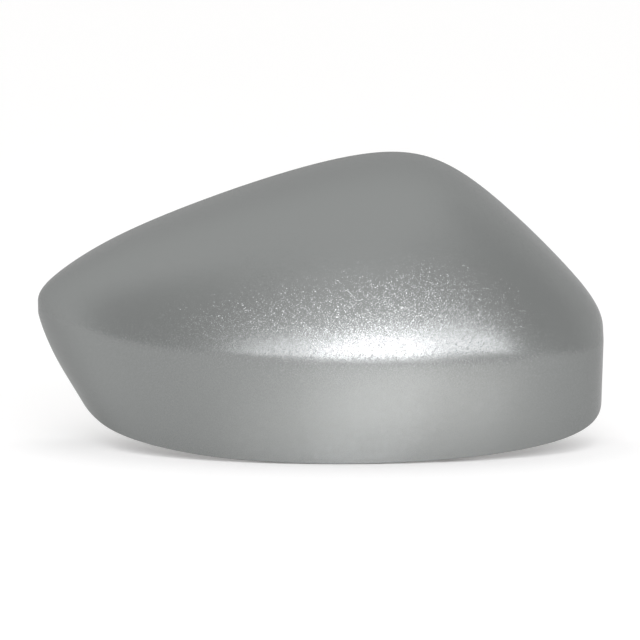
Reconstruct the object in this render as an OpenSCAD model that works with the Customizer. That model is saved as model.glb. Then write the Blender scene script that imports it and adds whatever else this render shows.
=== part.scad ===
// Door mirror cover: one thin moulded shell, open at the back and below, with its snap hooks, sill
// tabs and locating pegs moulded on its inside.
// It is drawn with its rear rim in the plane y = 0, the inner tip at x = 0 and the front towards -y,
// then set down with its origin where the main locating peg seats in the mirror housing.

/* [Cover] */
// Width from the inner tip to the outer end
cover_width = 222; // [190:1:250]
// Height of the crown above the front of the sill
cover_height = 113; // [100:1:130]
// Depth of the crease in front of the rear rim
cover_depth = 80; // [65:1:95]
// Wall thickness
wall = 2.5; // [2:0.1:3.5]
// Bevel along both edges of the rim
edge_break = 0.4; // [0.2:0.1:0.8]

/* [Form] */
// Height of the inner tip above the front of the sill
tip_height = 54.2; // [50:0.1:60]
// Height of the upright outer edge's top above the front of the sill
end_height = 43.5; // [41:0.5:50]
// Height of the crease under the crown
crease_height = 38.8; // [35:0.1:40]
// Angle by which the dome leans back where it leaves the crease
crease_lean = 12; // [6:1:20]
// Fullness of the dome's section: 2 is an ellipse, more is squarer
dome_fullness = 2.1; // [1.9:0.05:2.4]
// Depth of the sill's front in front of the rear rim
sill_depth = 76.5; // [62:0.5:92]
// Angle by which the sill rises towards the back
sill_slope = 11.5; // [6:0.5:15]
// Outward bow of the slanted inner edge
tip_bow = 2.2; // [0:0.2:4]

/* [Locating pegs] */
// Diameter of a peg
peg_diameter = 6; // [4:0.5:8]
// Length of a peg behind its shoulder
peg_length = 12; // [8:1:18]
// Length of the tapered lead at a peg's end
peg_lead = 2; // [1:0.5:3]
// Diameter of the post that carries a peg
post_diameter = 10; // [9:0.5:12]
// Height of the main peg's shoulder behind the wall's inside; both shoulders lie in one plane
post_height = 18; // [16:1:24]
// Distance of the main peg from the inner tip
peg_distance = 128; // [115:1:140]
// Height of both pegs above the front of the sill
peg_height = 21; // [18:1:26]
// Distance between the two pegs
peg_pitch = 66; // [50:1:74]

/* [Snap hooks] */
// Width of a hook
hook_width = 10; // [6:0.5:14]
// Thickness of a hook's tongue
hook_thickness = 2; // [1.5:0.1:2.6]
// Gap between a hook's tongue and the wall
hook_gap = 3; // [2:0.5:5]
// Length of a hook's tongue
hook_length = 13; // [9:0.5:18]
// Height of the barb on a hook's tongue
hook_barb = 1.6; // [1:0.1:2.2]
// Distance of a hook's foot in front of the rear rim
hook_setback = 11; // [8:0.5:15]

// Distances of the top line's hooks from the inner tip
top_hook_distances = [48, 92, 140, 182]; // [30:1:200]
// Height of the hooks on the outer end and on the slanted inner edge
side_hook_height = 30; // [24:1:36]

/* [Sill tabs] */
// Distances of the two tabs from the inner tip
tab_distances = [95, 161]; // [80:1:180]
// Height of the tabs above the front of the sill
tab_height = 6; // [4:0.5:9]
// Length of a tab behind the wall's inside
tab_length = 15; // [10:1:20]

/* [Webs] */
// Thickness of the webs and gussets
web_thickness = 1.6; // [1.2:0.1:2.4]

/* [Hidden] */
$fn = 48;

// Facets along the cover and up its section
steps_along = 76;
steps_up = 28;

// Guide lines, one entry a station from the inner tip to the outer end.
// Widths are shares of the cover's width. The top line's heights are shares of the climb from the
// tip, or from the outer edge beyond the crown, and the crease's lift is a share of the climb from
// the crown's crease to the tip.
crown_station = 6;
top_across = [0, 0, 0.036, 0.135, 0.293, 0.473, 0.631, 0.734, 0.838, 0.933, 1, 1];
top_climb = [0, 0.07, 0.2036, 0.439, 0.683, 0.912, 1.034, 0.939, 0.664, 0.366, 0.115, 0];
crease_across = [0, 0.005, 0.034, 0.117, 0.27, 0.45, 0.622, 0.757, 0.883, 0.973, 1, 1];
crease_forward = [0, 0.112, 0.325, 0.625, 0.875, 1.012, 1.022, 0.952, 0.805, 0.54, 0.236, 0];
crease_lift = [0.68, 0.73, 0.725, 0.42, 0.175, 0.026, 0, 0.032, 0.058, 0.052, 0.032, 0.032];
sill_across = [0.075, 0.082, 0.106, 0.16, 0.284, 0.45, 0.622, 0.757, 0.883, 0.968, 0.995, 0.998];
sill_forward = [0, 0.115, 0.36, 0.63, 0.897, 1.02, 1.014, 0.925, 0.755, 0.505, 0.235, 0];

// Rows of a station's section: shares of the climb from sill to crease with how far forward each
// has come, then shares of the dome's quarter turn
belt_climb = [0, 0.34, 0.68, 0.91];
belt_forward = [0, 0.5, 0.84, 0.98];
dome_turn = [0.03, 0.13, 0.31, 0.54, 0.78, 1];

// The inner edge bows and the crease softens over this many stations from an end, and there the
// dome's first rows stand this much further from the crease
end_stations = 4;
end_softening = 0.06;

// Part of the wall that a foot reaches into, from the inside
foot_depth = 0.45 * wall;

// Part of a post's height up which its webs reach
web_share = 0.8;

// A barb's profile: the nose set back, a long ramp, a flat crest and a steep catch
barb_nose = 0.6 * hook_thickness;
barb_ramp = 2 * hook_barb;
barb_catch = 0.4 * hook_barb;

// Height and length of the gussets above a sill tab
tab_gusset_height = 2.5 * hook_thickness + hook_gap;
tab_gusset_length = 0.6 * tab_length;

function unit(v) = v / norm(v);
function climb(low, high, share) = low + (high - low) * share;

// One station's control points, from the sill over the crease to the top line
function top_point(k) = [
    cover_width * top_across[k], 0,
    climb(k <= crown_station ? tip_height : end_height, cover_height, top_climb[k])];
function crease_point(k) = [
    cover_width * crease_across[k], -cover_depth * crease_forward[k],
    climb(crease_height, tip_height, crease_lift[k])];
function sill_point(k) = [
    cover_width * sill_across[k], -sill_depth * sill_forward[k],
    sill_depth * (1 - sill_forward[k]) * tan(sill_slope)];
function near_end(stations) = max(0, 1 - stations / end_stations);
function bow(k, share) = tip_bow * near_end(k) * 4 * share * (1 - share);
function belt_point(k, row, low, high) = [
    climb(low.x, high.x, belt_climb[row]) - bow(k, belt_climb[row]),
    climb(low.y, high.y, belt_forward[row]),
    climb(low.z, high.z, belt_climb[row])];
function dome_point(turn, low, high) =
    let (a = climb(crease_lean, 90, turn), s = sin(crease_lean),
         rise = pow((sin(a) - s) / (1 - s), 2 / dome_fullness),
         reach = pow(max(0, cos(a) / cos(crease_lean)), 2 / dome_fullness))
    [climb(low.x, high.x, rise), low.y * reach, climb(low.z, high.z, rise)];
function station(k) =
    let (s = sill_point(k), c = crease_point(k), t = top_point(k),
         soft = end_softening * near_end(min(k, len(top_across) - 1 - k)))
    concat(
        [for (row = [0 : len(belt_climb) - 1]) belt_point(k, row, s, c)],
        [c],
        [for (turn = dome_turn) dome_point(climb(turn, 1, soft), c, t)]);

net = [for (k = [0 : len(top_across) - 1]) station(k)];
net_x = [for (s = net) [for (p = s) p.x]];
net_y = [for (s = net) [for (p = s) p.y]];
net_z = [for (s = net) [for (p = s) p.z]];

// Weights of n control points at the share t, for a smooth cubic curve that ends on its end points
function knot(i, n) = max(0, min(n - 3, i - 3));
function spans(i, t, n) = knot(i, n) < knot(i + 1, n) && knot(i, n) <= t
    && (t < knot(i + 1, n) || knot(i + 1, n) == n - 3);
function ramp(a, b, t) = b > a ? (t - a) / (b - a) : 0;
function weight(i, degree, t, n) = degree == 0
    ? (spans(i, t, n) ? 1 : 0)
    : ramp(knot(i, n), knot(i + degree, n), t) * weight(i, degree - 1, t, n)
        + (1 - ramp(knot(i + 1, n), knot(i + degree + 1, n), t)) * weight(i + 1, degree - 1, t, n);
function weights(n, share) = [for (i = [0 : n - 1]) weight(i, 3, share * (n - 3), n)];

// A point of the outer surface, and the direction out of it, at shares along and up
function at(u, v) = let (a = weights(len(net), u), b = weights(len(net[0]), v))
    [a * net_x * b, a * net_y * b, a * net_z * b];
tiny = 0.002;
function outward(u, v) =
    unit(cross(at(u + tiny, v) - at(u - tiny, v), at(u, v + tiny) - at(u, v - tiny)));

// Shares along and up of the surface point whose two coordinates, numbered in axes, are wanted
function kept(share) = max(2 * tiny, min(1 - 2 * tiny, share));
function find(wanted, axes, uv, rounds = 8) = rounds == 0 ? uv :
    let (p = at(uv[0], uv[1]),
         a = (at(uv[0] + tiny, uv[1]) - p) / tiny, b = (at(uv[0], uv[1] + tiny) - p) / tiny,
         e = [wanted[0] - p[axes[0]], wanted[1] - p[axes[1]]],
         d = a[axes[0]] * b[axes[1]] - a[axes[1]] * b[axes[0]])
    find(wanted, axes, [
        kept(uv[0] + (e[0] * b[axes[1]] - e[1] * b[axes[0]]) / d),
        kept(uv[1] + (e[1] * a[axes[0]] - e[0] * a[axes[1]]) / d)], rounds - 1);

// The shell's grid of points and its directions out. At its two ends the top line runs on from the
// end edge, so its end points take the direction one step down that edge.
weights_along = [for (i = [0 : steps_along]) weights(len(net), i / steps_along)];
weights_up = [for (j = [0 : steps_up]) weights(len(net[0]), j / steps_up)];
outer = [for (a = weights_along) let (x = a * net_x, y = a * net_y, z = a * net_z)
    [for (b = weights_up) [x * b, y * b, z * b]]];
function grid_out(i, j) = unit(cross(
    outer[min(i + 1, steps_along)][j] - outer[max(i - 1, 0)][j],
    outer[i][min(j + 1, steps_up)] - outer[i][max(j - 1, 0)]));
function direction(i, j) = j == steps_up && (i == 0 || i == steps_along)
    ? grid_out(i, j - 1) : grid_out(i, j);
out = [for (i = [0 : steps_along]) [for (j = [0 : steps_up]) direction(i, j)]];

// The rim lies in two planes: the rear plane and the sloping plane of the sill
rear_face = [0, 1, 0];
sill_face = [0, sin(sill_slope), -cos(sill_slope)];
function on_rear(i, j) = i == 0 || i == steps_along || j == steps_up;
function in_plane(v, m) = v - (v * m) * m;
// 1 on a plane of the rim, falling to 0 at a wall's depth behind it
function near_rim(depth) = max(0, 1 - max(0, depth) / wall);
function near_rear(p) = near_rim(-p.y);
function near_sill(p) = near_rim(p.z * cos(sill_slope) - (p.y + sill_depth) * sin(sill_slope));
// Step across the wall. On the rim it keeps to the rim's planes, and inside it runs square through.
function across_wall(i, j) =
    let (p = outer[i][j], n = out[i][j], rear = near_rear(p),
         flat = n - rear * (n * rear_face) * rear_face,
         down = sill_face - rear * (sill_face * rear_face) * rear_face,
         step = flat - near_sill(p) * (flat * sill_face) / (down * sill_face) * down)
    -wall / (step * n) * step;
// Step from a rim point back along the surface, and none elsewhere
function along_wall(i, j) = j > 0 && !on_rear(i, j) ? [0, 0, 0] :
    let (m = unit((j == 0 ? sill_face : [0, 0, 0]) + (on_rear(i, j) ? rear_face : [0, 0, 0])))
    -edge_break * unit(in_plane(m, out[i][j]));
function outer_point(i, j) = outer[i][j] + along_wall(i, j);
function inner_point(i, j) = outer[i][j] + along_wall(i, j) + across_wall(i, j);
function lip_point(at, share) = let (step = across_wall(at[0], at[1]))
    outer[at[0]][at[1]] + share * step + (1 - 2 * share) * edge_break * unit(step);

rim_count = 2 * (steps_along + steps_up);
function rim_at(k) = let (a = steps_along, b = steps_up)
    k < a ? [k, 0] : k < a + b ? [a, k - a] : k < 2 * a + b ? [2 * a + b - k, b] : [0, 2 * (a + b) - k];
function number(i, j) = i * (steps_up + 1) + j;
grid_count = (steps_along + 1) * (steps_up + 1);
function rim_number(k, ring) = let (r = rim_at(k % rim_count))
    ring == 0 ? number(r[0], r[1]) :
    ring == 3 ? grid_count + number(r[0], r[1]) :
    2 * grid_count + (ring - 1) * rim_count + k % rim_count;

// The shell: outer face, inner face and the bevelled rim between them
module shell() {
    points = concat(
        [for (i = [0 : steps_along]) for (j = [0 : steps_up]) outer_point(i, j)],
        [for (i = [0 : steps_along]) for (j = [0 : steps_up]) inner_point(i, j)],
        [for (share = [0, 1]) for (k = [0 : rim_count - 1]) lip_point(rim_at(k), share)]);
    cells = [for (i = [0 : steps_along - 1]) for (j = [0 : steps_up - 1])
        [number(i, j), number(i, j + 1), number(i + 1, j + 1), number(i + 1, j)]];
    strips = [for (ring = [0 : 2]) for (k = [0 : rim_count - 1])
        [rim_number(k, ring), rim_number(k + 1, ring),
            rim_number(k + 1, ring + 1), rim_number(k, ring + 1)]];
    faces = concat(
        [for (c = cells) for (t = [[0, 1, 2], [0, 2, 3]]) [c[t[0]], c[t[1]], c[t[2]]]],
        [for (c = cells) for (t = [[2, 1, 0], [3, 2, 0]])
            [c[t[0]] + grid_count, c[t[1]] + grid_count, c[t[2]] + grid_count]],
        [for (s = strips) for (t = [[0, 1, 2], [0, 2, 3]]) [s[t[0]], s[t[1]], s[t[2]]]]);
    polyhedron(points, faces);
}

// Everything that stands on the inside is cut off inside the wall, on the plane that touches it there
module rooted(uv) {
    n = outward(uv[0], uv[1]);
    root = at(uv[0], uv[1]) - (wall - foot_depth) * n;
    block = 2 * (post_height + post_diameter);
    difference() {
        children();
        translate(root) rotate([0, acos(n.z), atan2(n.y, n.x)])
            translate([-block, -block, 0]) cube(2 * block);
    }
}

// A peg on its post, with two crossed webs that carry the post. The posts end in one plane.
module peg(uv) {
    p = at(uv[0], uv[1]);
    height = peg_seat.y - p.y - wall;
    start = -wall - post_diameter;
    translate([p.x, peg_seat.y, p.z]) rotate([-90, 0, 0]) {
        cylinder(d = peg_diameter, h = peg_length - peg_lead);
        translate([0, 0, peg_length - peg_lead])
            cylinder(d1 = peg_diameter, d2 = peg_diameter / 2, h = peg_lead);
    }
    rooted(uv) translate([p.x, p.y + wall, p.z]) {
        rotate([-90, 0, 0]) translate([0, 0, start]) cylinder(d = post_diameter, h = height - start);
        for (turn = [0, 90]) rotate([0, turn, 0]) translate([0, 0, -web_thickness / 2])
            linear_extrude(web_thickness) polygon([
                [-post_diameter, start], [post_diameter, start], [post_diameter, 0],
                [post_diameter / 2, web_share * height], [-post_diameter / 2, web_share * height],
                [-post_diameter, 0]]);
    }
}

// A barb's points from its nose to its catch, on the face of a tongue, standing out the given way
function barb(length, face, way) = let (crest = face + way * hook_barb, ramp_end = length - barb_ramp)
    [[length, face - way * barb_nose], [ramp_end, crest], [ramp_end - hook_barb, crest],
        [ramp_end - hook_barb - barb_catch, face]];

// A plate of the given thickness in the plane that runs back and up, shifted sideways
module upright(thickness, shift, points) {
    rotate([90, 0, 90]) translate([0, 0, shift - thickness / 2]) linear_extrude(thickness)
        polygon(points);
}

// A pair of gussets under the two sides of a hook or tab
module gussets(points) {
    for (side = [-1, 1]) upright(web_thickness, side * (hook_width - web_thickness) / 2, points);
}

// A snap hook: a foot stands in from the wall, and a tongue with a barb runs back from it
module hook(uv) {
    p = at(uv[0], uv[1]);
    n = outward(uv[0], uv[1]);
    inside = p - wall * n;
    under = hook_gap;
    over = hook_gap + hook_thickness;
    rooted(uv) translate(inside) rotate([0, 90 - atan2(n.z, n.x), 0]) mirror([0, 0, 1]) {
        upright(hook_width, 0, concat(
            [[-hook_thickness, -wall], [0, -wall], [0, under], [hook_length, under]],
            barb(hook_length, over, 1),
            [[-hook_thickness, over]]));
        gussets([[-2 * over, -wall], [0, -wall], [0, over], [-hook_thickness, over], [-2 * over, 0]]);
    }
}

// A sill tab: a barbed tongue straight back from the belt, on two gussets
module tab(uv) {
    n = outward(uv[0], uv[1]);
    start = -2 * wall - hook_width / 2;
    rooted(uv) translate(at(uv[0], uv[1]) - wall * n) {
        upright(hook_width, 0, concat(
            barb(tab_length, 0, -1),
            [[start, 0], [start, hook_thickness], [tab_length, hook_thickness]]));
        gussets([[start, 0], [tab_gusset_length, 0], [tab_gusset_length, hook_thickness],
            [0, tab_gusset_height], [start, tab_gusset_height]]);
    }
}

// Where the fixings meet the surface, each found from a rough start: on the belt by its distance from
// the tip and its height, on the top line by its distance and how far it is in front of the rim
function on_belt(x, z) = find([x, z], [0, 2], [x / cover_width, 0.2]);
function on_top(x, y) = find([x, y], [0, 1], [x / cover_width, 0.92]);
function on_end(start, y, z) = find([y, z], [1, 2], [start, 0.2]);
main_peg = on_belt(peg_distance, peg_height);
second_peg = on_belt(peg_distance - peg_pitch, peg_height);
peg_seat = at(main_peg[0], main_peg[1]) + [0, wall + post_height, 0];

module mirror_cover() {
    color("silver") translate(-peg_seat) {
        shell();
        peg(main_peg);
        peg(second_peg);
        for (x = top_hook_distances) hook(on_top(x, -hook_setback));
        for (start = [0.03, 0.97]) hook(on_end(start, -hook_setback, side_hook_height));
        for (x = tab_distances) tab(on_belt(x, tab_height));
    }
}

mirror_cover();
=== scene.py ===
# %% [markdown]
# # A door mirror cover
#
# The object is the painted cap of a car's door mirror: one thin plastic moulding, about 2.5 mm
# thick, sprayed satin silver. It has a domed top, a soft crease that runs from the inner tip to
# the outer end, and an upright belt below the crease. Nothing on it moves, so it is all about one
# surface, the paint on it and the way light falls over it.
#
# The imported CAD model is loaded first. It fixes the size and the place of everything that
# follows.

# %% Load the fixed frame
import math

import bmesh
import bpy
import numpy as np
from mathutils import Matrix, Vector
from mathutils.bvhtree import BVHTree
from mathutils.kdtree import KDTree


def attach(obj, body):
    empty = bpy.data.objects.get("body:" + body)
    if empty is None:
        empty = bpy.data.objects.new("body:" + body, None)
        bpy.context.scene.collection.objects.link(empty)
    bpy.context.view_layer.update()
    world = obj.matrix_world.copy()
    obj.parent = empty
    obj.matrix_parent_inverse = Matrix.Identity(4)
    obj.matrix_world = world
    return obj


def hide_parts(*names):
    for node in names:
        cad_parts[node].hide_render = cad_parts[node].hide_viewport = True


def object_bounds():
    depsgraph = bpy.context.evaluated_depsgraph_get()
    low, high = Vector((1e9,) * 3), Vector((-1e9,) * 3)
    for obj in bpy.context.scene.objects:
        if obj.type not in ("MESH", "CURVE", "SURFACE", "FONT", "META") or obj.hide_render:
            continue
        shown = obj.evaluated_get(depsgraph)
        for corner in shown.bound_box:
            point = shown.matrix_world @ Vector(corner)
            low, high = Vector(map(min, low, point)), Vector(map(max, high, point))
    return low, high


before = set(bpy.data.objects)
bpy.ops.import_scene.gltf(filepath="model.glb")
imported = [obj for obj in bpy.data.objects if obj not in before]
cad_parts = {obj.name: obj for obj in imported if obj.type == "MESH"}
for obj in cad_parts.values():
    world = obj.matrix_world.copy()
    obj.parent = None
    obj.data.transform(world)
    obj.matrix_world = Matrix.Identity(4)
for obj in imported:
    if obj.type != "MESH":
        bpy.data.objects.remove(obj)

CAD_LOW, CAD_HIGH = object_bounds()
print("CAD box in mm", [round(1000 * v, 1) for v in (*CAD_LOW, *CAD_HIGH)])

# %% [markdown]
# ## The driving sizes
#
# Lengths are in millimetres, as on a drawing, and are turned into metres when a mesh is made. The
# drawing has its own start: x counts from the inner tip, y is 0 at the rear rim and falls towards
# the front, and z counts from the lowest point of the sill.

# %% Driving sizes of the shell
MM = 0.001
COVER_WIDTH, COVER_HEIGHT, COVER_DEPTH = 222.0, 113.0, 80.0
WALL = 2.5
EDGE_ROUND = 0.5
TIP_HEIGHT, END_HEIGHT, CREASE_HEIGHT = 54.2, 43.5, 38.8
CREASE_LEAN, DOME_FULLNESS = 12.0, 2.1
SILL_DEPTH, SILL_SLOPE = 76.5, 11.5
TIP_BOW = 2.2
END_STATIONS, END_SOFTENING = 4, 0.06
print("cover, mm", COVER_WIDTH, "by", COVER_HEIGHT, "by", COVER_DEPTH, "with a wall of", WALL)

# %% [markdown]
# ## The guide lines
#
# A panel like this is drawn from three guide lines: the top line and the sill, which are its
# edges, and the crease between them. Twelve stations from the tip to the outer end say where each
# line runs. At every station a section climbs from the sill to the crease and on, as a quarter of
# a squared-off ellipse, to the top line. It could also be sculpted from a box with a subdivision
# surface, but then no edge could be set to a size. With guide lines, every edge can be.

# %% Guide lines and sections
CROWN_STATION = 6
TOP_ACROSS = [0, 0, 0.036, 0.135, 0.293, 0.473, 0.631, 0.734, 0.838, 0.933, 1, 1]
TOP_CLIMB = [0, 0.07, 0.2036, 0.439, 0.683, 0.912, 1.034, 0.939, 0.664, 0.366, 0.115, 0]
CREASE_ACROSS = [0, 0.005, 0.034, 0.117, 0.27, 0.45, 0.622, 0.757, 0.883, 0.973, 1, 1]
CREASE_FORWARD = [0, 0.112, 0.325, 0.625, 0.875, 1.012, 1.022, 0.952, 0.805, 0.54, 0.236, 0]
CREASE_LIFT = [0.68, 0.73, 0.725, 0.42, 0.175, 0.026, 0, 0.032, 0.058, 0.052, 0.032, 0.032]
SILL_ACROSS = [0.075, 0.082, 0.106, 0.16, 0.284, 0.45, 0.622, 0.757, 0.883, 0.968, 0.995, 0.998]
SILL_FORWARD = [0, 0.115, 0.36, 0.63, 0.897, 1.02, 1.014, 0.925, 0.755, 0.505, 0.235, 0]
BELT_CLIMB = [0, 0.34, 0.68, 0.91]
BELT_FORWARD = [0, 0.5, 0.84, 0.98]
DOME_TURN = [0.03, 0.13, 0.31, 0.54, 0.78, 1]


def between(low, high, share):
    return low + (high - low) * share


def near_end(stations):
    return max(0, 1 - stations / END_STATIONS)


def station(k):
    """One station's control points, from the sill over the crease to the top line."""
    start = TIP_HEIGHT if k <= CROWN_STATION else END_HEIGHT
    top = np.array([COVER_WIDTH * TOP_ACROSS[k], 0, between(start, COVER_HEIGHT, TOP_CLIMB[k])])
    crease = np.array([COVER_WIDTH * CREASE_ACROSS[k], -COVER_DEPTH * CREASE_FORWARD[k],
                       between(CREASE_HEIGHT, TIP_HEIGHT, CREASE_LIFT[k])])
    rise = SILL_DEPTH * (1 - SILL_FORWARD[k]) * math.tan(math.radians(SILL_SLOPE))
    sill = np.array([COVER_WIDTH * SILL_ACROSS[k], -SILL_DEPTH * SILL_FORWARD[k], rise])
    rows = []
    for climb, forward in zip(BELT_CLIMB, BELT_FORWARD):
        bow = TIP_BOW * near_end(k) * 4 * climb * (1 - climb)
        shares = np.array([climb, forward, climb])
        rows.append(sill + (crease - sill) * shares - np.array([bow, 0, 0]))
    rows.append(crease)
    lean = math.radians(CREASE_LEAN)
    soft = END_SOFTENING * near_end(min(k, len(TOP_ACROSS) - 1 - k))
    for turn in DOME_TURN:
        angle = between(lean, math.pi / 2, between(turn, 1, soft))
        rise = ((math.sin(angle) - math.sin(lean)) / (1 - math.sin(lean))) ** (2 / DOME_FULLNESS)
        reach = max(0, math.cos(angle) / math.cos(lean)) ** (2 / DOME_FULLNESS)
        rows.append(np.array([between(crease[0], top[0], rise), crease[1] * reach,
                              between(crease[2], top[2], rise)]))
    return rows


NET = np.array([station(k) for k in range(len(TOP_ACROSS))])
print("control net", NET.shape[:2])

# %% [markdown]
# ## The smooth surface
#
# The control points are blended by cubic B-spline weights, the way a car's outer panels are
# drawn. That keeps the surface's bend continuous, so reflections run over it without a kink, and
# it makes the crease soft exactly where the rows of points lie close together.

# %% B-spline weights, surface points and directions
DEGREE = 3


def weights(count, share):
    """The weights of count control points at a share from 0 to 1 of the way along them."""
    spans = count - DEGREE
    knots = [0] * DEGREE + list(range(spans + 1)) + [spans] * DEGREE
    t = share * spans
    first = min(int(t), spans - 1)
    values = [1.0]
    for degree in range(1, DEGREE + 1):
        raised = [0.0] * (degree + 1)
        for i, value in enumerate(values):
            low = knots[first + DEGREE + 1 - degree + i]
            high = knots[first + DEGREE + 1 + i]
            part = (t - low) / (high - low)
            raised[i] += value * (1 - part)
            raised[i + 1] += value * part
        values = raised
    row = np.zeros(count)
    row[first:first + DEGREE + 1] = values
    return row


def surface(along, up):
    """Points of the outer surface, in drawing mm, at all pairs of the two lists of shares."""
    a = np.array([weights(NET.shape[0], u) for u in along])
    b = np.array([weights(NET.shape[1], v) for v in up])
    return np.einsum("ai,bj,ijk->abk", a, b, NET)


def unit(v):
    return v / np.linalg.norm(v, axis=-1, keepdims=True)


SMALL_SHARE = 0.0005


def outward(along, up):
    """Directions out of the surface at all pairs of the two lists of shares."""
    along, up = np.asarray(along, float), np.asarray(up, float)
    before, after = np.maximum(along - SMALL_SHARE, 0), np.minimum(along + SMALL_SHARE, 1)
    below, above = np.maximum(up - SMALL_SHARE, 0), np.minimum(up + SMALL_SHARE, 1)
    lengthwise = surface(after, up) - surface(before, up)
    upwards = surface(along, above) - surface(along, below)
    return unit(np.cross(lengthwise, upwards))


SEARCH_STEPS = 12


def spot(wanted, axes, guess):
    """The shares along and up of the point whose coordinates on two axes are wanted."""
    uv = np.array(guess, float)
    for _ in range(SEARCH_STEPS):
        p = surface([uv[0]], [uv[1]])[0, 0]
        a = (surface([uv[0] + SMALL_SHARE], [uv[1]])[0, 0] - p) / SMALL_SHARE
        b = (surface([uv[0]], [uv[1] + SMALL_SHARE])[0, 0] - p) / SMALL_SHARE
        slopes = np.array([[a[k], b[k]] for k in axes])
        uv += np.linalg.solve(slopes, np.array(wanted) - p[list(axes)])
        uv = np.clip(uv, 2 * SMALL_SHARE, 1 - 2 * SMALL_SHARE)
    return uv


print("middle of the surface, drawing mm", np.round(surface([0.5], [0.5])[0, 0], 1))

# %% [markdown]
# ## From the drawing to the frame
#
# The CAD model's origin is where the main locating peg meets the mirror housing: 128 mm from the
# tip, 21 mm above the sill and 18 mm behind the inside of the wall. The same three numbers place
# the drawing here.

# %% Place the drawing in the frame
PEG_DISTANCE, PEG_HEIGHT, POST_HEIGHT, PEG_PITCH = 128.0, 21.0, 18.0, 66.0
main_peg = spot([PEG_DISTANCE, PEG_HEIGHT], (0, 2), [PEG_DISTANCE / COVER_WIDTH, 0.2])
SEAT = surface(*[[share] for share in main_peg])[0, 0] + np.array([0, WALL + POST_HEIGHT, 0])


def to_frame(points):
    return (np.asarray(points) - SEAT) * MM


print("peg seat in drawing mm", np.round(SEAT, 2))

# %% [markdown]
# ## The shell
#
# The moulding is the outer surface, the same surface stepped in by the wall, and a rim that
# closes the two. A Solidify modifier could thicken it, but its rim would not lie flat in the
# plane that meets the mirror housing. So the rim points step in along that plane, and each edge
# of the rim is a small quarter round, because a moulded and painted edge is never sharp. Where
# the grid is crowded against the rim, at its two upper corners, the points move forwards a little
# to make room for it.

# %% Grid of the shell
CELLS_ALONG, CELLS_UP, ROUND_STEPS = 240, 96, 4
ROWS = CELLS_UP + 1
skin = surface(np.linspace(0, 1, CELLS_ALONG + 1), np.linspace(0, 1, ROWS))
skin_out = outward(np.linspace(0, 1, CELLS_ALONG + 1), np.linspace(0, 1, ROWS))
for i in (0, CELLS_ALONG):
    skin_out[i, -2:] = skin_out[i, -3]
grid_faces = [(a, a + 1, a + 1 + ROWS, a + ROWS)
              for i in range(CELLS_ALONG) for a in range(i * ROWS, i * ROWS + CELLS_UP)]

REAR = np.array([0.0, 1.0, 0.0])
RISE = math.radians(SILL_SLOPE)
SILL = np.array([0.0, math.sin(RISE), -math.cos(RISE)])
rim_walk = [(i, 0) for i in range(CELLS_ALONG)] + [(CELLS_ALONG, j) for j in range(CELLS_UP)]
rim_walk += [(CELLS_ALONG - i, CELLS_UP) for i in range(CELLS_ALONG)]
rim_walk += [(0, CELLS_UP - j) for j in range(CELLS_UP)]


def dot(a, b):
    return np.sum(a * b, axis=-1, keepdims=True)


def across_wall(points, n):
    """The steps across the wall: in the rim's planes on the rim, square through it further in."""
    behind_sill, height = points[..., 1:2] + SILL_DEPTH, points[..., 2:]
    sill_height = height * math.cos(RISE) - behind_sill * math.sin(RISE)
    rear = np.clip(1 + points[..., 1:2] / WALL, 0, 1)
    sill = np.clip(1 - sill_height / WALL, 0, 1)
    flat = n - rear * dot(n, REAR) * REAR
    down = SILL - rear * dot(SILL, REAR) * REAR
    step = flat - sill * dot(flat, SILL) / dot(down, SILL) * down
    return -WALL / dot(step, n) * step


wall_steps = across_wall(skin, skin_out)
inner_skin = skin + wall_steps
print("rim points", len(rim_walk))

# %% The rim's section
SQUEEZE = 0.9


def rim_step(i, j):
    """At a rim point: the unit step back along the wall, and the direction that the rim faces."""
    n = skin_out[i, j]
    rear = i in (0, CELLS_ALONG) or j == CELLS_UP
    facing = unit((REAR if rear else 0) + (SILL if j == 0 else 0))
    return -unit(facing - (facing @ n) * n), facing


def rim_section(i, j):
    """At a rim point: the points and directions over both rounds, and where the two faces end."""
    back, flat = rim_step(i, j)
    n, painted_corner, bare_corner = skin_out[i, j], skin[i, j], inner_skin[i, j]
    inwards = unit(wall_steps[i, j])
    painted, bare = [], []
    for k in range(1, ROUND_STEPS + 1):
        turn = math.pi / 2 * k / ROUND_STEPS
        c, s = math.cos(turn), math.sin(turn)
        ahead, aside = EDGE_ROUND * (1 - s) * back, EDGE_ROUND * (1 - c) * inwards
        painted.append((painted_corner + ahead + aside, unit(flat * s + n * c)))
        bare.append((bare_corner + ahead - aside, unit(flat * s - n * c)))
    return painted + bare[::-1], painted_corner + EDGE_ROUND * back, bare_corner + EDGE_ROUND * back


def room_for_rim():
    """How each grid point moves so that none lies closer to the rear plane than the rim's round.
    They keep their order, because a tenth of their spacing is left to them."""
    short = np.maximum(0, EDGE_ROUND + SQUEEZE * skin[..., 1:2])
    return short * (dot(skin_out, REAR) * skin_out - REAR)


print("points across the rim", len(rim_section(0, 0)[0]) + 2)

# %% Mesh of the shell
PAINTED, BARE = 0, 1


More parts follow.
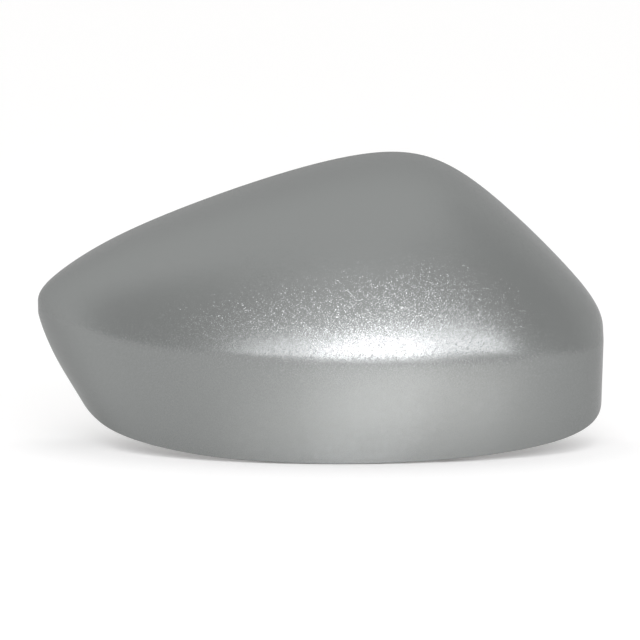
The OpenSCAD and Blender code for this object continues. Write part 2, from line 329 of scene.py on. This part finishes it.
def shell_mesh():
    """The closed shell: vertices, faces, the direction at each vertex, and each face's material."""
    room = room_for_rim()
    points = list((skin + room).reshape(-1, 3)) + list((inner_skin + room).reshape(-1, 3))
    facing = list(skin_out.reshape(-1, 3)) + list(-skin_out.reshape(-1, 3))
    count = skin.shape[0] * ROWS
    numbers = [i * ROWS + j for i, j in rim_walk]
    sections = []
    for number, (i, j) in zip(numbers, rim_walk):
        section, points[number], points[count + number] = rim_section(i, j)
        sections.append(section)
    loops = [numbers]
    for ring in zip(*sections):
        loops.append(list(range(len(points), len(points) + len(ring))))
        points += [p for p, _ in ring]
        facing += [n for _, n in ring]
    loops.append([count + number for number in numbers])
    faces, paint = [], []
    for a, a_up, b_up, b in grid_faces:
        faces += [(a, b, b_up, a_up), (count + a, count + a_up, count + b_up, count + b)]
        paint += [PAINTED, BARE]
    for ring, (outer, inner) in enumerate(zip(loops, loops[1:])):
        for k, m in zip(range(len(numbers)), [*range(1, len(numbers)), 0]):
            faces.append((outer[k], inner[k], inner[m], outer[m]))
            paint.append(PAINTED if ring <= ROUND_STEPS else BARE)
    return np.array(points), faces, np.array(facing), paint


shell_points, shell_faces, shell_facing, shell_paint = shell_mesh()
mesh = bpy.data.meshes.new("cover_shell")
mesh.from_pydata([tuple(p) for p in to_frame(shell_points)], [], shell_faces)
mesh.polygons.foreach_set("material_index", shell_paint)
mesh.polygons.foreach_set("use_smooth", [True] * len(mesh.polygons))
mesh.normals_split_custom_set_from_vertices([tuple(n) for n in unit(shell_facing)])
mesh.update()
shell = bpy.data.objects.new("cover_shell", mesh)
bpy.context.scene.collection.objects.link(shell)
print("shell faces", len(mesh.polygons))

# %% [markdown]
# ## Overspray
#
# The cap is sprayed from outside on a jig, so mist drifts round the rim and fades over the first
# centimetre or two of the bare inside. Each point of the mesh stores how far it is from the rim,
# and the plastic's material turns that distance into a speckled fade.

# %% Store the distance from the rim
def store_rim_distance(target):
    """Writes each vertex's distance from the rim, in millimetres, as an attribute of its mesh."""
    tree = KDTree(len(rim_walk))
    for k, (i, j) in enumerate(rim_walk):
        tree.insert(to_frame(inner_skin[i, j]), k)
    tree.balance()
    reach = [tree.find(v.co)[2] / MM for v in target.vertices]
    layer = target.attributes.new("rim_distance", "FLOAT", "POINT")
    layer.data.foreach_set("value", reach)
    return max(reach)


print("furthest from the rim, mm", round(store_rim_distance(mesh), 1))

# %% [markdown]
# ## What stands on the inside
#
# Covers of this kind push onto the mirror housing: two round pegs set the place, hooks round the
# rim and two tabs at the sill snap in. They are part of the same moulding. Each one is a closed
# solid that reaches a little into the wall, with soft edges, and a concave fillet where it meets
# the wall, as moulded plastic always has. A ray cast finds the wall under each foot.

# %% Helpers that find the wall and build solids on it
SINK = 1.0
EDGE_SOFTNESS = 0.25
SHARP_ANGLE = math.radians(20)

wall_tree = BVHTree.FromPolygons([Vector(p) for p in inner_skin.reshape(-1, 3)], grid_faces)
parts = []


def wall_hit(origin, direction):
    """The point of the inner wall that a ray meets, and the direction from it into the hollow."""
    point, normal, _, _ = wall_tree.ray_cast(Vector(origin), Vector(direction))
    if point is None:
        raise ValueError(f"no wall from {origin} along {direction}")
    point, normal = np.array(point), np.array(normal)
    return point, normal if normal @ np.array(direction) < 0 else -normal


def add_solid(points, faces, sharp=None):
    """Adds a closed solid, in drawing millimetres, with its free edges softened."""
    bm = bmesh.new()
    verts = [bm.verts.new(Vector(p)) for p in points]
    for face in faces:
        bm.faces.new([verts[k] for k in face])
    bmesh.ops.recalc_face_normals(bm, faces=bm.faces)
    if sharp is not None:
        free = set(verts[k] for k in sharp)
        edges = [e for e in bm.edges
                 if free.issuperset(e.verts) and e.calc_face_angle(0) > SHARP_ANGLE]
        bmesh.ops.bevel(bm, geom=edges, offset=EDGE_SOFTNESS, segments=2, profile=0.5,
                        affect="EDGES", clamp_overlap=True)
    bm.normal_update()
    piece = bpy.data.meshes.new("part")
    bm.to_mesh(piece)
    bm.free()
    parts.append(piece)


def prism(outline, sharp, width, origin, across, first, second, shift=0.0, far=None):
    """An outline in the plane of two directions, given a width along the third. far is the outline
    at the far side, where it differs. sharp numbers the points that stand free of the wall."""
    count = len(outline)
    points = []
    for side, line in ((-1, outline), (1, far or outline)):
        for y, z in line:
            points.append(origin + across * (shift + side * width / 2) + first * y + second * z)
    faces = [tuple(range(count)), tuple(reversed(range(count, 2 * count)))]
    faces += [(k, k + count, (k + 1) % count + count, (k + 1) % count) for k in range(count)]
    add_solid(points, faces, [k + n * count for k in sharp for n in (0, 1)])


# %% Fillets
FILLET, FILLET_STEPS, FILLET_SINK = 0.8, 5, 0.4


def fillet(spots, sides, closed=False):
    """A concave fillet along points on the wall. sides point away from what stands there."""
    turns = [math.pi / 2 * k / FILLET_STEPS for k in range(FILLET_STEPS + 1)]
    points = []
    for (foot, into), side in zip(spots, sides):
        side = unit(side - (side @ into) * into)
        middle = foot + FILLET * (side + into)
        points.append(foot - FILLET_SINK * (side + into))
        points += [middle - FILLET * (side * math.cos(t) + into * math.sin(t)) for t in turns]
    ring = FILLET_STEPS + 2
    count = len(spots)
    faces = []
    for k in range(count if closed else count - 1):
        low, high = k * ring, (k + 1) % count * ring
        for m in range(ring):
            n = (m + 1) % ring
            faces.append((low + m, high + m, high + n, low + n))
    if not closed:
        faces += [tuple(range(ring)), tuple(range((count - 1) * ring, count * ring))]
    add_solid(points, faces)


def fillet_line(find, start, stop, count, side):
    """A straight fillet. find gives the wall at a distance along it, side points away from it."""
    run = [find(distance) for distance in np.linspace(start, stop, count)]
    fillet(run, [side] * count)


# %% [markdown]
# ### Pegs
#
# A peg's post is turned on its axis like a chess piece: up the side, over the shoulder where the
# housing seats, up the peg and over its tapered lead. Only the ring at its foot follows the wall.
# Two webs cross under the shoulder and brace the post, so that it doesn't break when the cover is
# pushed on.

# %% Pegs on their posts
PEG_DIAMETER, PEG_LENGTH, PEG_LEAD, POST_DIAMETER = 6.0, 12.0, 2.0, 10.0
PEG_ROUND, ROUND_MIDDLE = 0.4, 0.3
TURNS = 64
X, Y, Z = np.eye(3)


def peg_profile():
    """Radius and level of each ring: up the post, over its shoulder at level 0 and up the peg."""
    post, pin, soft, mid = POST_DIAMETER / 2, PEG_DIAMETER / 2, PEG_ROUND, ROUND_MIDDLE * PEG_ROUND
    lead = PEG_LENGTH - PEG_LEAD
    return [(post, -soft), (post - mid, -mid), (post - soft, 0), (pin + soft, 0), (pin + mid, mid),
            (pin, soft), (pin, lead - soft), (pin - 0.1 * soft, lead),
            (pin / 2 + 0.7 * soft, PEG_LENGTH - 0.7 * soft), (pin / 2, PEG_LENGTH - 0.2 * soft),
            (pin / 2 - soft, PEG_LENGTH)]


def turned_post(axis, hollow):
    """The post with its peg. axis is its shoulder's middle, hollow a point that sees the wall."""
    angles = np.linspace(0, 2 * math.pi, TURNS, endpoint=False)
    rays = [X * math.cos(a) + Z * math.sin(a) for a in angles]
    feet = [wall_hit(hollow + POST_DIAMETER / 2 * ray, -Y) for ray in rays]
    points = [foot - SINK * Y for foot, _ in feet]
    profile = peg_profile()
    for radius, level in profile:
        points += [axis + radius * ray + level * Y for ray in rays]
    faces = [tuple(range(TURNS)), tuple(range(len(points) - TURNS, len(points)))]
    for low in range(0, len(profile) * TURNS, TURNS):
        high = low + TURNS
        for k in range(TURNS):
            m = (k + 1) % TURNS
            faces.append((low + k, low + m, high + m, high + k))
    add_solid(points, faces)
    fillet(feet, rays, closed=True)


# %% Webs under the shoulder
WEB_THICKNESS, WEB_SHARE, WEB_STEPS = 1.6, 0.8, 17
CLEAR_OF_WALL = 0.5


def cross_web(foot, hollow, height, way, thick):
    """A web through the post along one direction. Its top slopes down to the wall at both ends."""
    low, high = [], []
    for share in np.linspace(-1, 1, WEB_STEPS):
        wall, _ = wall_hit(hollow + share * POST_DIAMETER * way, -Y)
        bottom = wall[1] - foot[1] - SINK
        top = WEB_SHARE * height * min(1, 2 - 2 * abs(share))
        low.append((share * POST_DIAMETER, bottom))
        high.append((share * POST_DIAMETER, max(top, bottom + 0.1)))
    last = 2 * WEB_STEPS - 1
    free = [last - k for k in range(WEB_STEPS) if high[k][1] > low[k][1] + SINK + CLEAR_OF_WALL]
    prism(low + high[::-1], free, WEB_THICKNESS, foot, thick, way, Y)
    for end in (-1, 1):
        for side in (-1, 1):
            start = hollow + thick * side * WEB_THICKNESS / 2
            fillet_line(lambda reach: wall_hit(start + way * end * reach, -Y),
                        0.45 * POST_DIAMETER, 0.97 * POST_DIAMETER, 6, thick * side)


def peg(distance):
    """A peg on its post at a distance from the inner tip. Returns the post's height."""
    uv = spot([distance, PEG_HEIGHT], (0, 2), [distance / COVER_WIDTH, 0.2])
    p = surface([uv[0]], [uv[1]])[0, 0]
    foot, hollow = p + WALL * Y, np.array([p[0], 0, p[2]])
    height = SEAT[1] - foot[1]
    turned_post(foot + height * Y, hollow)
    cross_web(foot, hollow, height, X, Z)
    cross_web(foot, hollow, height, Z, X)
    return height


for distance in (PEG_DISTANCE, PEG_DISTANCE - PEG_PITCH):
    print("peg post height, mm", round(peg(distance), 1))


# %% [markdown]
# ### Snap hooks
#
# A hook has a foot that stands in from the wall, a tongue that runs back from it and can bend,
# and a barb at the tongue's end: a blunt nose, a long ramp that slides over the housing's edge,
# and a steep catch that holds it. Two gussets stiffen the foot in front.

# %% The hook's outline and gussets
HOOK_WIDTH, HOOK_THICKNESS, HOOK_GAP, HOOK_LENGTH = 10.0, 2.0, 3.0, 13.0
HOOK_BARB, HOOK_SETBACK = 1.6, 11.0
OVER = HOOK_GAP + HOOK_THICKNESS
NOSE = 0.6 * HOOK_THICKNESS
RAMP_END = 2 * HOOK_BARB
CREST_END = RAMP_END + HOOK_BARB
CATCH_END = CREST_END + 0.4 * HOOK_BARB
GUSSET_STEPS = 15


def hook_outline(level, x):
    """One side of a hook, round its foot, tongue and barb: distance back, height over the wall."""
    return [(-HOOK_THICKNESS, level(x, -HOOK_THICKNESS)[0] - SINK), (0, level(x, 0)[0] - SINK),
            (0, HOOK_GAP), (HOOK_LENGTH, HOOK_GAP), (HOOK_LENGTH, OVER - NOSE),
            (HOOK_LENGTH - RAMP_END, OVER + HOOK_BARB), (HOOK_LENGTH - CREST_END, OVER + HOOK_BARB),
            (HOOK_LENGTH - CATCH_END, OVER), (-HOOK_THICKNESS, OVER)]


def hook_gusset(level, origin, across, inwards, side):
    """A gusset in front of a hook's foot, rising from the wall to the tongue, with its fillets."""
    x = side * (HOOK_WIDTH - WEB_THICKNESS) / 2
    front, back = -2 * OVER, -0.5 * HOOK_THICKNESS
    ys = np.linspace(front, back, GUSSET_STEPS)
    walls = [level(x, y)[0] for y in ys]
    tops = [min(OVER, OVER * (y - front) / (-HOOK_THICKNESS - front)) for y in ys]
    keep = [k for k in range(GUSSET_STEPS) if tops[k] > walls[k] - 0.5 * SINK]
    low = [(ys[k], walls[k] - SINK) for k in keep]
    high = [(ys[k], tops[k]) for k in keep]
    free = [len(low) + m for m, k in enumerate(keep[::-1]) if tops[k] > walls[k] + CLEAR_OF_WALL]
    prism(low + high[::-1], free, WEB_THICKNESS, origin, across, Y, inwards, shift=x)
    start = next(ys[k] for k in keep if tops[k] > walls[k])
    for face in (-1, 1):
        edge = x + face * WEB_THICKNESS / 2
        stop = 0 if face == side else -HOOK_THICKNESS
        fillet_line(lambda y: level(edge, y)[1:], start, stop, 8, across * face)


# %% Snap hooks round the rim
TOP_HOOK_DISTANCES = [48.0, 92.0, 140.0, 182.0]
SIDE_HOOK_HEIGHT, SIDE_HOOK_SHARES = 30.0, (0.05, 0.97)


def hook(uv):
    """A snap hook whose foot stands at a place on the surface."""
    p, n = surface([uv[0]], [uv[1]])[0, 0], outward([uv[0]], [uv[1]])[0, 0]
    inwards = -unit(np.array([n[0], 0, n[2]]))
    across = np.cross(Y, inwards)
    origin = p - WALL * n

    def level(x, y):
        """The wall's height, point and direction under a place x across and y back."""
        foot, into = wall_hit(origin + across * x + Y * y + inwards * OVER, -inwards)
        return (foot - origin) @ inwards, foot, into

    half = HOOK_WIDTH / 2
    near, far = hook_outline(level, -half), hook_outline(level, half)
    prism(near, range(2, 9), HOOK_WIDTH, origin, across, Y, inwards, far=far)
    for side in (-1, 1):
        hook_gusset(level, origin, across, inwards, side)
    between_gussets = half - WEB_THICKNESS
    fillet_line(lambda x: level(x, -HOOK_THICKNESS)[1:], -between_gussets, between_gussets, 6, -Y)
    fillet_line(lambda x: level(x, 0)[1:], -half, half, 8, Y)


for distance in TOP_HOOK_DISTANCES:
    hook(spot([distance, -HOOK_SETBACK], (0, 1), [distance / COVER_WIDTH, 0.92]))
for end in SIDE_HOOK_SHARES:
    hook(spot([-HOOK_SETBACK, SIDE_HOOK_HEIGHT], (1, 2), [end, 0.1]))
print("hooks", len(TOP_HOOK_DISTANCES) + len(SIDE_HOOK_SHARES))

# %% [markdown]
# ### Sill tabs
#
# Low on the belt, two barbed tongues point straight back and catch under the housing's front
# edge. The gussets stand above the tongue, clear of the barb below it.

# %% Sill tabs
TAB_DISTANCES, TAB_HEIGHT, TAB_LENGTH = [95.0, 161.0], 6.0, 15.0
TAB_GUSSET_HEIGHT, TAB_GUSSET_LENGTH = 2.5 * HOOK_THICKNESS + HOOK_GAP, 0.6 * TAB_LENGTH


def tab_outline(wall_at, x):
    """One side of a tab, along its underside with the barb and its top: distance back, height."""
    t = HOOK_THICKNESS
    return [(wall_at(x, 0)[0] - SINK, 0), (TAB_LENGTH - CATCH_END, 0),
            (TAB_LENGTH - CREST_END, -HOOK_BARB), (TAB_LENGTH - RAMP_END, -HOOK_BARB),
            (TAB_LENGTH, NOSE), (TAB_LENGTH, t), (wall_at(x, t)[0] - SINK, t)]


def tab_gusset(wall_at, origin, side):
    """A gusset above a tab, from the wall down to the tongue, with its fillets."""
    x = side * (HOOK_WIDTH - WEB_THICKNESS) / 2
    t, top, reach = HOOK_THICKNESS, TAB_GUSSET_HEIGHT, TAB_GUSSET_LENGTH
    zs = np.linspace(0.5 * t, top, 7)
    back = [wall_at(x, z)[0] for z in zs]
    outline = [(y - SINK, z) for y, z in zip(back, zs)]
    outline += [(max(0, back[-1] + 0.6), top), (reach, t), (reach, 0.5 * t)]
    prism(outline, [7, 8], WEB_THICKNESS, origin, X, Y, Z, shift=x)
    for face in (-1, 1):
        edge = x + face * WEB_THICKNESS / 2
        fillet_line(lambda z: wall_at(edge, z)[1:], 0 if face == side else t, top, 8, X * face)


def tab(distance):
    """A barbed tab at a distance from the inner tip."""
    uv = spot([distance, TAB_HEIGHT], (0, 2), [distance / COVER_WIDTH, 0.05])
    p, n = surface([uv[0]], [uv[1]])[0, 0], outward([uv[0]], [uv[1]])[0, 0]
    origin = p - WALL * n

    def wall_at(x, z):
        """The wall's distance back, point and direction at a place x along and z above the tab."""
        foot, into = wall_hit(origin + X * x + Z * z + Y * TAB_LENGTH, -Y)
        return foot[1] - origin[1], foot, into

    half = HOOK_WIDTH / 2
    near, far = tab_outline(wall_at, -half), tab_outline(wall_at, half)
    prism(near, range(1, 6), HOOK_WIDTH, origin, X, Y, Z, far=far)
    for side in (-1, 1):
        tab_gusset(wall_at, origin, side)
    for z, down, reach in ((0, -1, half), (HOOK_THICKNESS, 1, half - WEB_THICKNESS)):
        fillet_line(lambda x: wall_at(x, z)[1:], -reach, reach, 8, Z * down)


for distance in TAB_DISTANCES:
    tab(distance)
print("tabs", len(TAB_DISTANCES), "of length, mm", TAB_LENGTH)

# %% Join what stands on the inside
SMOOTH_ANGLE = math.radians(35)
skin_tree = BVHTree.FromPolygons([Vector(p) for p in skin.reshape(-1, 3)], grid_faces)


def depth_in_wall(point):
    """How far a point lies behind the painted face."""
    nearest, inwards, _, _ = skin_tree.find_nearest(point)
    return (point - nearest) @ inwards


whole = bmesh.new()
for piece in parts:
    whole.from_mesh(piece)
    bpy.data.meshes.remove(piece)
least_depth = min(depth_in_wall(v.co) for v in whole.verts)
print("least depth of a root behind the paint, mm", round(least_depth, 2))
for v in whole.verts:
    v.co = Vector(to_frame(v.co))
fixings_mesh = bpy.data.meshes.new("cover_fixings")
whole.to_mesh(fixings_mesh)
whole.free()
fixings_mesh.polygons.foreach_set("use_smooth", [True] * len(fixings_mesh.polygons))
fixings_mesh.set_sharp_from_angle(angle=SMOOTH_ANGLE)
store_rim_distance(fixings_mesh)
fixings = bpy.data.objects.new("cover_fixings", fixings_mesh)
bpy.context.scene.collection.objects.link(fixings)
print("solids on the inside", len(parts), "faces", len(fixings_mesh.polygons))

# %% [markdown]
# ## Satin silver paint
#
# Silver paint is a clear lacquer full of tiny aluminium flakes. Each flake is a mirror with its
# own tilt, so next to a highlight some flakes flash and others stay dark. A metallic shader gives
# the soft overall sheen, and a fine cell pattern tilts the normal of each cell, as the flakes do.
# Most cells lean only a little. Three in ten lean further, some of them a lot, and those are the
# sparkles above the highlight. The pattern hangs on the object's own coordinates, so it has one
# scale everywhere. A noise bump would give soft ripples instead of separate glints.
#
# A plain metallic shader turns white where it is seen at a glancing angle. This paint stays grey
# out to its edges, so the specular tint holds them back.

# %% Helpers for materials
def new_material(name):
    material = bpy.data.materials.new(name)
    material.use_nodes = True
    tree = material.node_tree
    return material, tree, tree.nodes["Principled BSDF"]


def link(tree, source, target):
    tree.links.new(source, target)


def node(tree, kind, **settings):
    made = tree.nodes.new(kind)
    for key, value in settings.items():
        setattr(made, key, value)
    return made


def remap(tree, source, low, high, new_low, new_high, kind="LINEAR"):
    """A number moved from one range to another, held at the ends."""
    made = node(tree, "ShaderNodeMapRange", interpolation_type=kind)
    ranges = {"From Min": low, "From Max": high, "To Min": new_low, "To Max": new_high}
    for name, value in ranges.items():
        made.inputs[name].default_value = value
    link(tree, source, made.inputs["Value"])
    return made.outputs["Result"]


def vector_step(tree, operation, first, second):
    """A step of vector arithmetic on an output. The second side is an output or a plain vector."""
    made = node(tree, "ShaderNodeVectorMath", operation=operation)
    link(tree, first, made.inputs[0])
    if isinstance(second, bpy.types.NodeSocket):
        link(tree, second, made.inputs[1])
    else:
        made.inputs[1].default_value = second
    return made.outputs["Vector"]


def random_cells(tree, size):
    """A random colour for each cell of the given size in millimetres."""
    place = node(tree, "ShaderNodeTexCoord")
    cells = node(tree, "ShaderNodeTexVoronoi", feature="F1")
    cells.inputs["Scale"].default_value = 1 / (size * MM)
    link(tree, place.outputs["Object"], cells.inputs["Vector"])
    return cells.outputs["Color"]


def channel(tree, colour, name):
    """One channel of a colour, as a number."""
    split = node(tree, "ShaderNodeSeparateColor")
    link(tree, colour, split.inputs["Color"])
    return split.outputs[name]


# %% A normal for flakes
FLAKE_SIZE, FLAKE_TILT, MOST_TILT, LEANING_SHARE = 0.23, 0.09, 0.55, 0.3


def flake_normal(tree):
    """A normal that leans a little, another way in each cell, and further in some cells."""
    cells = random_cells(tree, FLAKE_SIZE)
    small = node(tree, "ShaderNodeVectorMath", operation="SCALE")
    link(tree, vector_step(tree, "SUBTRACT", cells, (0.5, 0.5, 0.5)), small.inputs[0])
    tilt = remap(tree, channel(tree, cells, "Blue"), 0, LEANING_SHARE, MOST_TILT, FLAKE_TILT)
    link(tree, tilt, small.inputs["Scale"])
    shape = node(tree, "ShaderNodeNewGeometry")
    final = node(tree, "ShaderNodeVectorMath", operation="NORMALIZE")
    leaning = vector_step(tree, "ADD", shape.outputs["Normal"], small.outputs["Vector"])
    link(tree, leaning, final.inputs[0])
    return final.outputs["Vector"]


print("flakes, mm", FLAKE_SIZE)

# %% The silver paint
SILVER = (0.284, 0.2935, 0.289, 1)
EDGE_TINT = (0.62, 0.62, 0.62, 1)
PAINT_ROUGHNESS = 0.27

silver, tree, shader = new_material("satin_silver_paint")
shader.inputs["Base Color"].default_value = SILVER
shader.inputs["Metallic"].default_value = 1.0
shader.inputs["Specular Tint"].default_value = EDGE_TINT
shader.inputs["Roughness"].default_value = PAINT_ROUGHNESS
link(tree, flake_normal(tree), shader.inputs["Normal"])
print("made", silver.name)

# %% [markdown]
# ## Bare plastic inside
#
# The unpainted inside is plain dark grey plastic with a fine moulded grain. Near the rim the
# silver mist lies over it. A mist is made of droplets, so a plain fade would look like a blur.
# Here each tiny cell of the pattern draws its own chance, and it is silver where the chance is
# below the fade.

# %% Helpers for the plastic
def combine(tree, operation, first, second):
    """A sum, product or the like of two outputs, or of an output and a number."""
    made = node(tree, "ShaderNodeMath", operation=operation, use_clamp=True)
    for socket, value in zip(made.inputs, (first, second)):
        if isinstance(value, (int, float)):
            socket.default_value = value
        else:
            link(tree, value, socket)
    return made.outputs["Value"]


def cloud(tree, place, size, detail=2):
    """A soft random pattern whose blotches have the given size in millimetres."""
    made = node(tree, "ShaderNodeTexNoise")
    made.inputs["Scale"].default_value = 1 / (size * MM)
    made.inputs["Detail"].default_value = detail
    link(tree, place.outputs["Object"], made.inputs["Vector"])
    return made.outputs["Fac"]


def blend(tree, share, first, second):
    """A colour between two. The first is an output or a plain colour."""
    made = node(tree, "ShaderNodeMix", data_type="RGBA")
    if isinstance(first, bpy.types.NodeSocket):
        link(tree, first, made.inputs["A"])
    else:
        made.inputs["A"].default_value = first
    made.inputs["B"].default_value = second
    link(tree, share, made.inputs["Factor"])
    return made.outputs["Result"]


# %% The overspray's droplets
MIST_REACH, MIST_FADE, DROPLET_SIZE = 16.0, 2.2, 0.25
DRIFT_SIZE, LEAST_DRIFT, MOST_DRIFT = 18, 0.6, 1.4
CLOUD_RANGE = (0.3, 0.7)

plastic, tree, shader = new_material("bare_plastic")
place = node(tree, "ShaderNodeTexCoord")
rim = node(tree, "ShaderNodeAttribute", attribute_name="rim_distance")
drift = remap(tree, cloud(tree, place, DRIFT_SIZE), *CLOUD_RANGE, LEAST_DRIFT, MOST_DRIFT)
near_rim = remap(tree, combine(tree, "DIVIDE", rim.outputs["Fac"], MIST_REACH), 0, 1, 1, 0)
fade = combine(tree, "MULTIPLY", combine(tree, "POWER", near_rim, MIST_FADE), drift)
mist = combine(tree, "LESS_THAN", channel(tree, random_cells(tree, DROPLET_SIZE), "Red"), fade)
print("mist reaches, mm", MIST_REACH)

# %% The bare plastic under it
DARK_GREY, MID_GREY = (0.046, 0.047, 0.049, 1), (0.062, 0.063, 0.065, 1)
FLOW_SIZE, GRAIN_SIZE, GRAIN_DEPTH, GRAIN_STRENGTH = 30, 0.5, 0.05, 0.25
FLOW_RANGE = (0.35, 0.65)
SMOOTHEST, ROUGHEST = 0.42, 0.56

flow = remap(tree, cloud(tree, place, FLOW_SIZE), *FLOW_RANGE, 0, 1)
bare = blend(tree, flow, DARK_GREY, MID_GREY)
link(tree, blend(tree, mist, bare, SILVER), shader.inputs["Base Color"])
link(tree, mist, shader.inputs["Metallic"])
grain = cloud(tree, place, GRAIN_SIZE, detail=3)
link(tree, remap(tree, grain, *CLOUD_RANGE, SMOOTHEST, ROUGHEST), shader.inputs["Roughness"])
bump = node(tree, "ShaderNodeBump")
bump.inputs["Strength"].default_value = GRAIN_STRENGTH
bump.inputs["Distance"].default_value = GRAIN_DEPTH * MM
link(tree, grain, bump.inputs["Height"])
link(tree, bump.outputs["Normal"], shader.inputs["Normal"])
print("made", plastic.name)

# %% Give both pieces their finish and their place in the frame
for piece in (shell, fixings):
    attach(piece, "root")
    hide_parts("mirror_cover")
shell.data.materials.append(silver)
shell.data.materials.append(plastic)
fixings.data.materials.append(plastic)
for piece in (shell, fixings):
    print(piece.name, [material.name for material in piece.data.materials])


# %% [markdown]
# ## Camera
#
# The photograph looks at the cover's front from far away and a little above. The camera stands
# where it did: in front of the middle of the cover, six degrees up, with a long lens.

# %% Camera
VIEW_RISE = math.radians(6.0)
LENS, SENSOR, FRAME_PIXELS = 250.0, 36.0, 640
COVER_PIXELS = 565
MIDDLE_OF_VIEW = [110.8, 0, 46.4]

mm_per_pixel = COVER_WIDTH / COVER_PIXELS
camera_distance = LENS / SENSOR * FRAME_PIXELS * mm_per_pixel * MM
aim = Vector(to_frame(MIDDLE_OF_VIEW))
camera_data = bpy.data.cameras.new("camera")
camera_data.lens = LENS
camera_data.sensor_width = SENSOR
camera = bpy.data.objects.new("camera", camera_data)
bpy.context.scene.collection.objects.link(camera)
camera.location = aim + camera_distance * Vector((0, -math.cos(VIEW_RISE), math.sin(VIEW_RISE)))
camera.rotation_euler = (math.pi / 2 - VIEW_RISE, 0, 0)
bpy.context.scene.camera = camera
print("camera distance, m", round(camera_distance, 3))

# %% [markdown]
# ## Floor
#
# The cover stands on a plain white table, as for a catalogue picture. Its belt faces slightly
# down, so what the belt shows is the table in front. In reflections the table is a little glossy,
# and a warm pool of light is painted into it in front of the cover: the table's material glows
# there, for reflected rays only, instead of being lit by a lamp. The camera sees the same table as
# matt and evenly white, with the cover's soft shadow on it, so that nothing competes with the
# cover's outline.

# %% Floor
FLOOR_REACH = 6.0
TABLE_WHITE = (0.98, 0.98, 0.98, 1)
MATT, GLOSSY = 0.9, 0.2

level = CAD_LOW.z
sides = ((-1, -1), (1, -1), (1, 1), (-1, 1))
corners = [(x * FLOOR_REACH, y * FLOOR_REACH, level) for x, y in sides]
floor_mesh = bpy.data.meshes.new("floor")
floor_mesh.from_pydata(corners, [], [(0, 1, 2, 3)])
floor = bpy.data.objects.new("floor", floor_mesh)
bpy.context.scene.collection.objects.link(floor)
table, tree, shader = new_material("white_table")
shader.inputs["Base Color"].default_value = TABLE_WHITE
rays = node(tree, "ShaderNodeLightPath")
gloss = remap(tree, rays.outputs["Is Glossy Ray"], 0, 1, MATT, GLOSSY)
link(tree, gloss, shader.inputs["Roughness"])
floor.data.materials.append(table)
print("floor at, mm", round(1000 * level, 1))

# %% The painted pool of light on the table
# Painted light: a warm glow in the table's material, brightest in a pool in front of the cover,
# seen only in reflections
PAINTED_POOL_MIDDLE, PAINTED_POOL_REACH = (0.045, CAD_LOW.y - 0.1, level), (0.19, 0.16, 1)
PAINTED_POOL_GLOW, PAINTED_FAR_GLOW, CAMERA_LIFT = 0.65, 0.04, 0.1
PAINTED_POOL_TINT = (1.0, 0.96, 0.925)

place = node(tree, "ShaderNodeTexCoord")
offset = vector_step(tree, "SUBTRACT", place.outputs["Object"], PAINTED_POOL_MIDDLE)
away = node(tree, "ShaderNodeVectorMath", operation="LENGTH")
link(tree, vector_step(tree, "DIVIDE", offset, PAINTED_POOL_REACH), away.inputs[0])
# The painted glow: strongest in the middle of the pool, faint further out, and only for reflected
# rays
painted_glow = remap(tree, away.outputs["Value"], 0, 1, PAINTED_POOL_GLOW, PAINTED_FAR_GLOW, "SMOOTHSTEP")
painted_glow = combine(tree, "MULTIPLY", painted_glow, rays.outputs["Is Glossy Ray"])
lift = combine(tree, "MULTIPLY", rays.outputs["Is Camera Ray"], CAMERA_LIFT)
link(tree, combine(tree, "ADD", painted_glow, lift), shader.inputs["Emission Strength"])
shader.inputs["Emission Color"].default_value = (*PAINTED_POOL_TINT, 1)
print("bright part, mm", [round(2000 * reach) for reach in PAINTED_POOL_REACH[:2]])

# %% [markdown]
# ## Light
#
# A satin surface shows the room around it, blurred. So the light is built like a photographer's:
# a white room that is a little darker to the left and to the right, which gives the dome its
# form, and a long narrow bank of lamps in front, which draws the bright lens along the crease.

# %% White room
DARK_SIDES = ((-64, 30, 0.68), (53, 38, 0.8), (106, 28, 0.71))
SIDE_EDGE = 0.76

bpy.context.scene.view_settings.view_transform = "Standard"
world = bpy.data.worlds.new("studio")
bpy.context.scene.world = world
world.use_nodes = True
tree = world.node_tree
backdrop = tree.nodes["Background"]
backdrop.inputs["Color"].default_value = (1, 1, 1, 1)


def toward(azimuth, elevation):
    """The direction at an azimuth, counted from the front, and an elevation, both in degrees."""
    a, e = math.radians(azimuth), math.radians(elevation)
    return Vector((math.sin(a) * math.cos(e), -math.cos(a) * math.cos(e), math.sin(e)))


place = node(tree, "ShaderNodeTexCoord")
rays = node(tree, "ShaderNodeLightPath")
light = 1.0
for azimuth, elevation, darkest in DARK_SIDES:
    facing = node(tree, "ShaderNodeVectorMath", operation="DOT_PRODUCT")
    facing.inputs[1].default_value = toward(azimuth, elevation)
    link(tree, place.outputs["Generated"], facing.inputs[0])
    shade = remap(tree, facing.outputs["Value"], SIDE_EDGE, 1.0, 1.0, darkest, "SMOOTHSTEP")
    light = combine(tree, "MULTIPLY", light, shade)
light = combine(tree, "MAXIMUM", light, rays.outputs["Is Camera Ray"])
link(tree, light, backdrop.inputs["Strength"])
print("dark sides of the room", len(DARK_SIDES))

# %% Lamps
LAMP_REACH = 1.6
COOL = (0.975, 0.965, 1.0)


def front_lamp(name, azimuth, elevation, size, brightness):
    """A soft lamp that faces the cover. Its brightness counts in times the white room's."""
    data = bpy.data.lights.new(name, "AREA")
    data.shape, data.color = "RECTANGLE", COOL
    data.size, data.size_y = size
    data.energy = brightness * math.pi * size[0] * size[1]
    way = toward(azimuth, elevation)
    lamp = bpy.data.objects.new(name, data)
    lamp.location = aim + LAMP_REACH * way
    lamp.rotation_euler = way.to_track_quat("Z", "Y").to_euler()
    lamp.visible_camera = False
    bpy.context.scene.collection.objects.link(lamp)
    print(name, "watts", round(data.energy, 2))


front_lamp("lamp_left", -17, 20, (0.7, 0.18), 4)
front_lamp("lamp_middle", 8, 19.5, (0.76, 0.15), 13.5)
front_lamp("lamp_right", 38, 21.5, (0.8, 0.18), 5.4)
front_lamp("lamp_low", 8, 9, (1.0, 0.16), 2.5)
